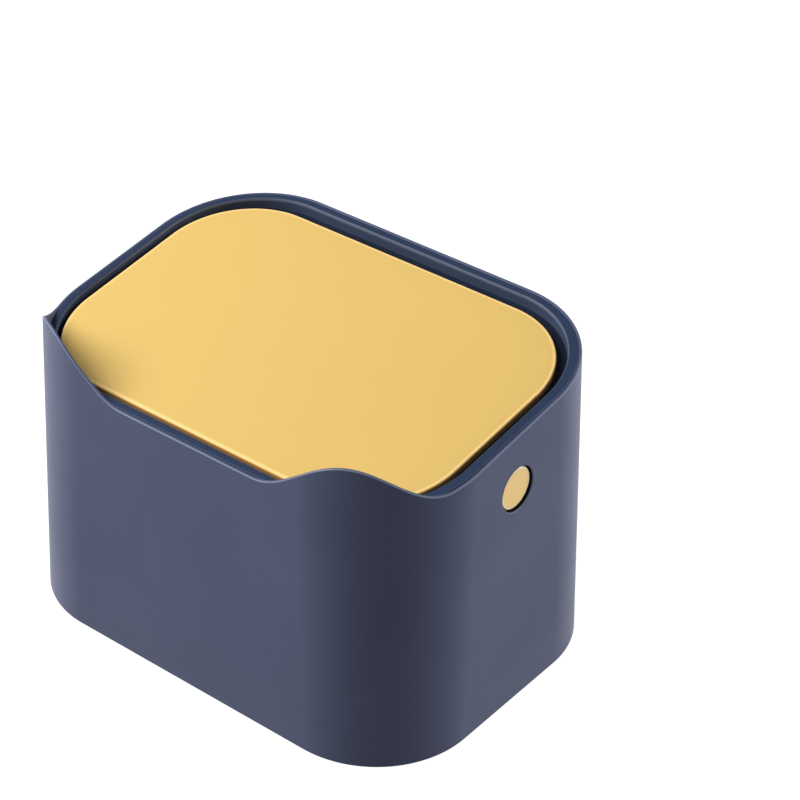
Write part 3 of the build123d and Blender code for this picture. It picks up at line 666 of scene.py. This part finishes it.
def settle(piece, matrix):
    # Turned into place, with the place taken into the mesh.
    bpy.ops.object.mode_set(mode="OBJECT")
    piece.matrix_world = matrix
    bpy.ops.object.transform_apply(location=True, rotation=True, scale=True)
    bpy.ops.object.mode_set(mode="EDIT")


spring_wire = metal("hard_spring_wire", WIRE_STEEL, WIRE_STEEL_DEEP, roughness=0.2)
coil_length = TORSION_PITCH * TORSION_TURNS
lifted = (-HINGE_LINE).cross(Vector((1, 0, 0)))
for side, end_name in ((1, "back"), (-1, "front")):
    spring = wound_wire(
        "torsion_coil_" + end_name, TORSION_RADIUS, TORSION_PITCH, TORSION_TURNS,
        ANCHOR_LEG, LID_LEG)
    down_line = -HINGE_LINE * side
    start = PIN_PLACE + HINGE_LINE * side * (TORSION_MIDDLE + coil_length / 2)
    turned = Matrix((Vector((1, 0, 0)), lifted, down_line)).transposed().to_4x4()
    settle(spring, Matrix.Translation(start) @ turned)
    finish_piece(spring)
    finish_in(spring, spring_wire)
    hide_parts("torsion_spring_" + end_name)
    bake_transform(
        spring, "base", "lid", start=start + down_line * WIRE / 2,
        end=start + down_line * (coil_length - WIRE / 2))

# Lid cover. A shallow yellow cap with a softly rounded edge, moulded with a short skirt that is
# welded round the inner panel. Its mould left it a little smoother than the navy parts.
LID_WIDTH = 0.1234
LID_CORNER = 0.037
LID_SUNK = 0.0022
LID_HEIGHT = 0.0029
LID_SKIN = 0.0014
LID_SKIRT = 0.0016
LID_ROUNDING = 0.0008
LID_END_DRAFT = 0.0009
LID_SIDE_START = 1.4
LID_RIM_WIDTH = 2.2
LID_GAP_SHADE = -0.95
LID_EDGE_SHADE = -0.9
BORE = 0.0027
BORE_START = 0.0555
BORE_END = 0.0607
BORE_SIDES = 48
YELLOW = (0.7, 0.476, 0.149, 1)
YELLOW_DEEP = (0.69, 0.468, 0.145, 1)
# Painted shade for the lid's sides.
YELLOW_PAINTED_SHADE = (0.42, 0.2, 0.055, 1)
YELLOW_DUST = (0.6, 0.42, 0.2, 1)
# Painted highlight for the lid's rounded edge.
YELLOW_PAINTED_HIGHLIGHT = (0.97, 0.66, 0.26, 1)


def lid_outline(inset, draft=0.0):
    # The draft draws the hinge end in: half of it lies here, and half in the ring's shift.
    return lambda z: (LID_LENGTH / 2 - inset - draft / 2, LID_WIDTH / 2 - inset, LID_CORNER - inset)


lid = start_ring("lid_shell", LID_LENGTH, LID_WIDTH, LID_CORNER, 0)
set_ring(lid, lid_outline(LID_SKIRT), rim_depth(LID_SUNK + LID_SKIN), LID_SHIFT)
bpy.ops.mesh.edge_face_add()
# Each ring's inset, depth, edge share and draft at the hinge end. The edge share paints shade down
# the lid's sides and a highlight along the top of its rounding.
lid_rings = [(LID_SKIRT, LID_SUNK + LID_HEIGHT, -1, 0), (0, LID_SUNK + LID_HEIGHT, -1, 0)]
lid_rings.append((0, LID_SUNK + LID_SIDE_START * LID_ROUNDING, LID_GAP_SHADE, LID_END_DRAFT))
for turn in quarter(ROUNDING_STEPS):
    inset = LID_ROUNDING * (1 - math.cos(turn))
    depth = LID_SUNK + LID_ROUNDING * (1 - math.sin(turn))
    edge = LID_EDGE_SHADE + (1 - LID_EDGE_SHADE) * math.sin(turn)
    lid_rings.append((inset, depth, edge, LID_END_DRAFT))
lid_rings.append((LID_RIM_WIDTH * LID_ROUNDING, LID_SUNK, 0, LID_END_DRAFT))
select_where(lid, lambda co: True)
for inset, depth, edge, draft in lid_rings:
    bpy.ops.mesh.extrude_region_move()
    shift = (LID_SHIFT[0] + draft / 2, LID_SHIFT[1])
    set_ring(lid, lid_outline(inset, draft), rim_depth(depth), shift, edge)
select_where(lid, lambda co: abs(co.z - rim_plane(co.y, LID_SUNK + LID_SKIN)) < NEAR
    and abs(co.x - LID_SHIFT[0]) < LID_LENGTH / 2 - LID_SKIRT + NEAR)
bpy.ops.mesh.edge_face_add()
bpy.ops.mesh.select_all(action="SELECT")
bpy.ops.mesh.normals_make_consistent(inside=False)
bpy.ops.object.mode_set(mode="OBJECT")
for side in (-1, 1):
    bpy.ops.object.select_all(action="DESELECT")
    bpy.ops.mesh.primitive_cylinder_add(
        vertices=BORE_SIDES, radius=BORE, depth=BORE_END - BORE_START,
        location=PIN_PLACE + HINGE_LINE * side * (BORE_START + BORE_END) / 2,
        rotation=HINGE_LINE.to_track_quat("Z", "X").to_euler())
    cut(lid, bpy.context.object)
bpy.ops.object.mode_set(mode="EDIT")
finish_piece(lid)

yellow_plastic, shader, tree, place, edge_light_and_shade = moulded_plastic(
    "yellow_lid_skin", YELLOW, YELLOW_DEEP, YELLOW_DUST, YELLOW_PAINTED_HIGHLIGHT, YELLOW_PAINTED_SHADE,
    roughness=0.46, grain_size=1700.0, grain_depth=0.000015, dust=0.35, scuffs=0.25)
# A faint curved witness mark near the front edge, where the mould's gate was trimmed.
GATE_PLACE = (0, -0.0514, 0)
GATE_RADIUS = 0.0072
GATE_LINE = 0.0009
GATE_FRONT = -0.056
GATE_BACK = -0.053
flat_place = add(tree, "ShaderNodeVectorMath", {0: place, 1: (1, 1, 0)}, operation="MULTIPLY")
from_gate = add(tree, "ShaderNodeVectorMath", {0: flat_place.outputs[0], 1: GATE_PLACE},
    operation="DISTANCE").outputs["Value"]
off_ring = calculate(tree, "SUBTRACT", from_gate, GATE_RADIUS)
off_ring_size = calculate(tree, "ABSOLUTE", off_ring)
ring = remap(tree, off_ring_size, start=0.0, end=GATE_LINE, low=0.5, high=0.0)
across = add(tree, "ShaderNodeSeparateXYZ", {0: place}).outputs["Y"]
near_half = remap(tree, across, start=GATE_FRONT, end=GATE_BACK, low=0.6, high=0.0)
mark = calculate(tree, "MULTIPLY", ring, near_half)
marked = mix_colours(tree, mark, edge_light_and_shade.outputs["Colour"], YELLOW_DUST)
tree.links.new(marked, shader.inputs["Base Color"])
finish_in(lid, yellow_plastic)
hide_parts("lid_cover")
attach(lid, "lid")

# Inner panel. The underside of the lid is a plain navy moulding with a grid of ribs, a rim that
# centres it in the mouth, and the hinge's knuckles. It keeps the CAD node's shape.
PANEL_NAVY = (0.05, 0.062, 0.1, 1)
PANEL_NAVY_DEEP = (0.04, 0.05, 0.085, 1)
panel_plastic = moulded_plastic(
    "panel_underside_skin", PANEL_NAVY, PANEL_NAVY_DEEP, NAVY_DUST, NAVY_PAINTED_HIGHLIGHT, PANEL_NAVY,
    roughness=0.52, grain_size=900.0, grain_depth=0.00004, dust=0.3, scuffs=0.4)[0]
finish_in(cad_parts["lid_inner_panel"], panel_plastic)

# Hook, latch case and plunger. All three are natural white acetal, slightly waxy, as sliding
# parts are; two screws hold the hook to the panel and two hold the case under the frame.
ACETAL = (0.72, 0.71, 0.66, 1)
ACETAL_DEEP = (0.66, 0.65, 0.6, 1)
ACETAL_DUST = (0.4, 0.39, 0.36, 1)
ACETAL_DEPTH = (0.002, 0.002, 0.0016)
acetal, shader = moulded_plastic(
    "natural_acetal", ACETAL, ACETAL_DEEP, ACETAL_DUST, ACETAL, ACETAL,
    roughness=0.38, grain_size=1100.0, grain_depth=0.00002, dust=0.2, scuffs=0.4)[:2]
shader.inputs["Subsurface Weight"].default_value = 0.15
shader.inputs["Subsurface Radius"].default_value = ACETAL_DEPTH
for node_name in ("lid_hook", "latch_case", "button_plunger"):
    finish_in(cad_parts[node_name], acetal)

# Push button. A round cap in yellow plastic, moulded hollow, with a flange behind the wall that
# keeps it in its case. Its face lies a millimetre inside the wall. The yellow is written paler
# than the lid's, because the lamps light this side less.
BUTTON_RADIUS = 0.0088
BUTTON_FACE = 0.099474
BUTTON_WALL = 0.0014
BUTTON_SKIN = 0.0016
BUTTON_ROUNDING = 0.0006
BUTTON_GLOSS = 0.45
FLANGE_RADIUS = 0.0102
FLANGE_FRONT = 0.0959
FLANGE = 0.0014
BUTTON_YELLOW = (1.0, 0.7, 0.275, 1)
BUTTON_YELLOW_DEEP = (0.985, 0.685, 0.262, 1)
# Painted highlight for the rim of the button's face.
BUTTON_PAINTED_HIGHLIGHT = (1.0, 0.88, 0.6, 1)
bpy.ops.object.select_all(action="DESELECT")
bpy.ops.mesh.primitive_cylinder_add(
    vertices=ROUND_SIDES, radius=FLANGE_RADIUS, depth=FLANGE, rotation=(0, math.pi / 2, 0),
    location=(FLANGE_FRONT - FLANGE / 2, 0, BUTTON_HEIGHT))
button = bpy.context.object
button.name = "button_cap"
bpy.ops.object.transform_apply(location=True, rotation=True, scale=True)
bpy.ops.object.mode_set(mode="EDIT")
select_where(button, lambda co: co.x > FLANGE_FRONT - NEAR)
bpy.ops.mesh.inset(thickness=FLANGE_RADIUS - BUTTON_RADIUS)
cap_height = BUTTON_FACE - FLANGE_FRONT
bpy.ops.mesh.extrude_region_move(TRANSFORM_OT_translate={"value": (cap_height, 0, 0)})
bpy.ops.mesh.bevel(
    offset=BUTTON_ROUNDING, segments=ROUNDING_STEPS, profile=0.5, affect="EDGES")
select_where(button, lambda co: co.x > BUTTON_FACE - NEAR)
bpy.ops.mesh.inset(thickness=BUTTON_ROUNDING)
select_where(button, lambda co: co.x < FLANGE_FRONT - FLANGE + NEAR)
bpy.ops.mesh.inset(thickness=FLANGE_RADIUS - BUTTON_RADIUS + BUTTON_WALL)
hollow = cap_height - BUTTON_SKIN + FLANGE
bpy.ops.mesh.extrude_region_move(TRANSFORM_OT_translate={"value": (hollow, 0, 0)})
finish_piece(button)
# The edge share paints a highlight round the rim of the face.
button_edge = button.data.attributes.new("edge", "FLOAT", "POINT").data
edge_start = BUTTON_RADIUS - 1.1 * BUTTON_ROUNDING
for vertex in button.data.vertices:
    in_front = vertex.co.x > BUTTON_FACE - BUTTON_ROUNDING / 2
    button_edge[vertex.index].value = float(in_front and from_button(vertex.co) > edge_start)
button_plastic = moulded_plastic(
    "yellow_button_skin", BUTTON_YELLOW, BUTTON_YELLOW_DEEP, YELLOW_DUST, BUTTON_PAINTED_HIGHLIGHT, YELLOW_PAINTED_SHADE,
    roughness=0.42, grain_size=2200.0, grain_depth=0.00001, dust=0.2, scuffs=0.3,
    sheen=BUTTON_GLOSS)[0]
finish_in(button, button_plastic)
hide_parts("push_button")
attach(button, "button")

# Return spring. Four turns of the same spring wire stand in the latch case round the plunger
# and push the button back out.
RETURN_RADIUS = 0.0034
RETURN_TURNS = 4
RETURN_START = 0.0899
RETURN_PITCH = 0.00152475
return_coil = wound_wire("return_coil", RETURN_RADIUS, RETURN_PITCH, RETURN_TURNS, 0, 0)
along_button = Matrix(((0, 0, 1), (1, 0, 0), (0, 1, 0))).to_4x4()
settle(return_coil, Matrix.Translation((RETURN_START, 0, BUTTON_HEIGHT)) @ along_button)
finish_piece(return_coil)
finish_in(return_coil, spring_wire)
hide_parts("return_spring")
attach(return_coil, "base")
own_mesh(return_coil)

# Floor and studio. A wide matte sheet in a dim white surround, and three soft lamps: a weak one
# overhead, one half-way up at the left end and one low behind the button's end. The sheet is
# lifted to plain white where it is seen, which leaves next to nothing of the bin's shadow.
FLOOR_SIZE = 40.0
FLOOR_COLOUR = (0.2, 0.2, 0.2, 1)
FLOOR_LIFT = 0.97
SURROUND_LEVEL = 0.11
WHITE = (1, 1, 1, 1)
LAMP_AIM = Vector((0, 0, 0.06))
LAMP_DISTANCE = 1.3
bpy.ops.object.select_all(action="DESELECT")
bpy.ops.mesh.primitive_plane_add(size=FLOOR_SIZE)
floor = bpy.context.object
floor.name = "floor"
floor_sheet = bpy.data.materials.new("floor_sheet")
floor_sheet.use_nodes = True
tree = floor_sheet.node_tree
shader = tree.nodes["Principled BSDF"]
shader.inputs["Base Color"].default_value = FLOOR_COLOUR
shader.inputs["Roughness"].default_value = 0.9
shader.inputs["Specular IOR Level"].default_value = 0.1
shader.inputs["Emission Color"].default_value = WHITE
seen = add(tree, "ShaderNodeLightPath", {}).outputs
mirrored = calculate(tree, "MAXIMUM", seen["Is Glossy Ray"], seen["Is Transmission Ray"])
direct = calculate(tree, "MAXIMUM", seen["Is Camera Ray"], mirrored)
lift = calculate(tree, "MULTIPLY", direct, FLOOR_LIFT)
tree.links.new(lift, shader.inputs["Emission Strength"])
finish_in(floor, floor_sheet)

world = bpy.data.worlds.new("pale_surround")
bpy.context.scene.world = world
world.use_nodes = True
surround = world.node_tree.nodes["Background"]
surround.inputs["Color"].default_value = WHITE
surround.inputs["Strength"].default_value = SURROUND_LEVEL


def softbox(name, azimuth, elevation, size, power):
    # A lamp that looks at the bin from an azimuth and an elevation in degrees.
    light = bpy.data.lights.new(name, "AREA")
    light.shape = "RECTANGLE"
    light.size, light.size_y = size
    light.energy = power
    lamp = bpy.data.objects.new(name, light)
    bpy.context.scene.collection.objects.link(lamp)
    turn = math.radians(azimuth)
    rise = math.radians(elevation)
    away = Vector((math.cos(turn) * math.cos(rise), math.sin(turn) * math.cos(rise),
        math.sin(rise)))
    lamp.location = LAMP_AIM + away * LAMP_DISTANCE
    lamp.rotation_euler = (-away).to_track_quat("-Z", "Y").to_euler()


softbox("overhead_softbox", azimuth=60, elevation=66, size=(1.0, 1.0), power=1.0)
softbox("left_end_softbox", azimuth=-143, elevation=41.5, size=(1.0, 0.9), power=25.6)
softbox("right_end_softbox", azimuth=48, elevation=18, size=(1.1, 0.7), power=15.8)

# Camera. It looks down on the low front of the rim from the button's side, through a long lens
# and with a slight roll.
CAMERA_AZIMUTH = math.radians(37.866)
CAMERA_ELEVATION = math.radians(33.787)
CAMERA_ROLL = math.radians(1.344)
CAMERA_PLACE = Vector((0.50467, -0.59167, 0.61779))
CAMERA_LENS = 108.08
CAMERA_SENSOR = 36
camera_data = bpy.data.cameras.new("product_camera")
camera_data.lens = CAMERA_LENS
camera_data.sensor_width = CAMERA_SENSOR
camera_data.clip_start = 0.01
camera = bpy.data.objects.new("product_camera", camera_data)
bpy.context.scene.collection.objects.link(camera)
camera_turn = (
    Matrix.Rotation(CAMERA_AZIMUTH, 4, "Z")
    @ Matrix.Rotation(math.pi / 2 - CAMERA_ELEVATION, 4, "X")
    @ Matrix.Rotation(CAMERA_ROLL, 4, "Z")
)
camera.matrix_world = Matrix.Translation(CAMERA_PLACE) @ camera_turn
bpy.context.scene.camera = camera
bpy.context.scene.view_settings.view_transform = "Standard"
